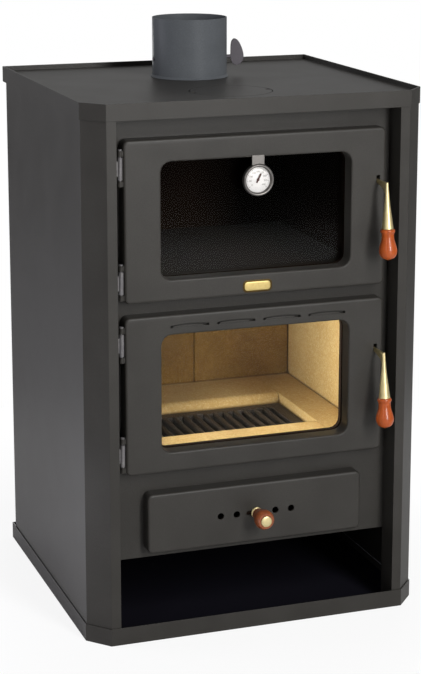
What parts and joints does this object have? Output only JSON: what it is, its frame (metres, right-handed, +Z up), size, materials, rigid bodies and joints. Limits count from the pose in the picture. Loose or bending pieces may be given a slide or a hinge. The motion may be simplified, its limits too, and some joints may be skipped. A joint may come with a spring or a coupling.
{
  "type": "wood-burning stove with oven",
  "caption": "Free-standing wood stove with a glazed oven over a glazed firebox, an ash drawer with an air slide, an open log bay, a hob with a lift-out lid, and a flue collar with a damper.",
  "frame": {"origin": "on the floor, under the middle of the base tray", "axes": "+X to the right seen from the front, +Y to the back, +Z up"},
  "size_m": [0.58, 0.5789, 0.98],
  "materials": {
    "stove_paint": "satin heat-proof stove paint, charcoal",
    "dark_steel": "dark matt heat-proof paint",
    "hinge_steel": "painted and worn steel",
    "cast_iron": "raw casting",
    "firebrick": "matt golden lining brick",
    "seal_rope": "braided glass rope",
    "door_glass": "clear",
    "brass": "polished",
    "stained_wood": "turned, stained and varnished",
    "bright_steel": "polished",
    "dial_white": "white dial",
    "needle_paint": "dark red"
  },
  "bodies": {
    "stove": {"base_tray": "stove_paint", "top_tray": "stove_paint", "hob_seat_ring": "dark_steel", "flue_collar": "stove_paint", "left_casing": "stove_paint", "right_casing": "stove_paint", "back_panel": "stove_paint", "front_plate": "stove_paint", "carcass_shell": "dark_steel", "ash_floor": "dark_steel", "hearth_plate": "dark_steel", "smoke_baffle": "dark_steel", "oven_box": "dark_steel", "wall_brick_left": "firebrick", "wall_brick_right": "firebrick", "back_brick_left": "firebrick", "back_brick_right": "firebrick", "floor_brick_left": "firebrick", "floor_brick_right": "firebrick", "floor_brick_front": "firebrick", "floor_brick_back": "firebrick", "grate": "cast_iron", "oven_hinge_barrel_lower": "hinge_steel", "oven_hinge_barrel_upper": "hinge_steel", "fire_hinge_barrel_lower": "hinge_steel", "fire_hinge_barrel_upper": "hinge_steel"},
    "hob_lid": {"hob_lid": "stove_paint"},
    "flue_damper": {"damper_plate": "cast_iron", "damper_rod": "hinge_steel", "damper_key": "hinge_steel"},
    "oven_door": {"oven_door_shell": "stove_paint", "oven_door_glass": "door_glass", "oven_door_retainer": "dark_steel", "oven_door_seal": "seal_rope", "oven_hinge_pin_lower": "hinge_steel", "oven_hinge_pin_upper": "hinge_steel", "badge_plate": "brass", "thermometer_case": "bright_steel", "thermometer_dial": "dial_white", "thermometer_lens": "door_glass"},
    "thermometer_pointer": {"thermometer_needle": "needle_paint"},
    "oven_handle": {"oven_latch_tongue": "dark_steel", "oven_handle_shank": "brass", "oven_handle_grip": "stained_wood"},
    "fire_door": {"fire_door_shell": "stove_paint", "fire_door_glass": "door_glass", "fire_door_retainer": "dark_steel", "fire_door_seal": "seal_rope", "fire_hinge_pin_lower": "hinge_steel", "fire_hinge_pin_upper": "hinge_steel"},
    "fire_handle": {"fire_latch_tongue": "dark_steel", "fire_handle_shank": "brass", "fire_handle_grip": "stained_wood"},
    "ash_drawer": {"drawer_front": "stove_paint", "ash_pan_floor": "dark_steel", "ash_pan_walls": "dark_steel"},
    "air_slide": {"air_shutter": "dark_steel", "knob_stem": "brass", "air_knob": "stained_wood", "knob_screw": "brass"}
  },
  "joints": [
    {"name": "oven_door_hinge", "type": "hinge", "parent": "stove", "child": "oven_door", "pos_m": [-0.228, -0.245, 0.693], "axis": [0, 0, -1], "range_deg": [0, 100]},
    {"name": "fire_door_hinge", "type": "hinge", "parent": "stove", "child": "fire_door", "pos_m": [-0.228, -0.245, 0.4087], "axis": [0, 0, -1], "range_deg": [0, 100]},
    {"name": "oven_handle_lift", "type": "hinge", "parent": "oven_door", "child": "oven_handle", "pos_m": [0.21, -0.241, 0.735], "axis": [-1, 0, 0], "range_deg": [0, 32]},
    {"name": "fire_handle_lift", "type": "hinge", "parent": "fire_door", "child": "fire_handle", "pos_m": [0.21, -0.241, 0.4507], "axis": [-1, 0, 0], "range_deg": [0, 32]},
    {"name": "thermometer_needle_turn", "type": "hinge", "parent": "oven_door", "child": "thermometer_pointer", "pos_m": [0, -0.25, 0.75], "axis": [0, 1, 0], "range_deg": [-165, 105]},
    {"name": "ash_drawer_slide", "type": "slide", "parent": "stove", "child": "ash_drawer", "axis": [0, -1, 0], "range_m": [0, 0.3]},
    {"name": "air_shutter_slide", "type": "slide", "parent": "ash_drawer", "child": "air_slide", "axis": [-1, 0, 0], "range_m": [0, 0.014]},
    {"name": "flue_damper_turn", "type": "hinge", "parent": "stove", "child": "flue_damper", "pos_m": [0, 0.088, 0.909], "axis": [1, 0, 0], "range_deg": [0, 90]},
    {"name": "hob_lid_lift", "type": "slide", "parent": "stove", "child": "hob_lid", "axis": [0, 0, 1], "range_m": [0, 0.05]}
  ]
}
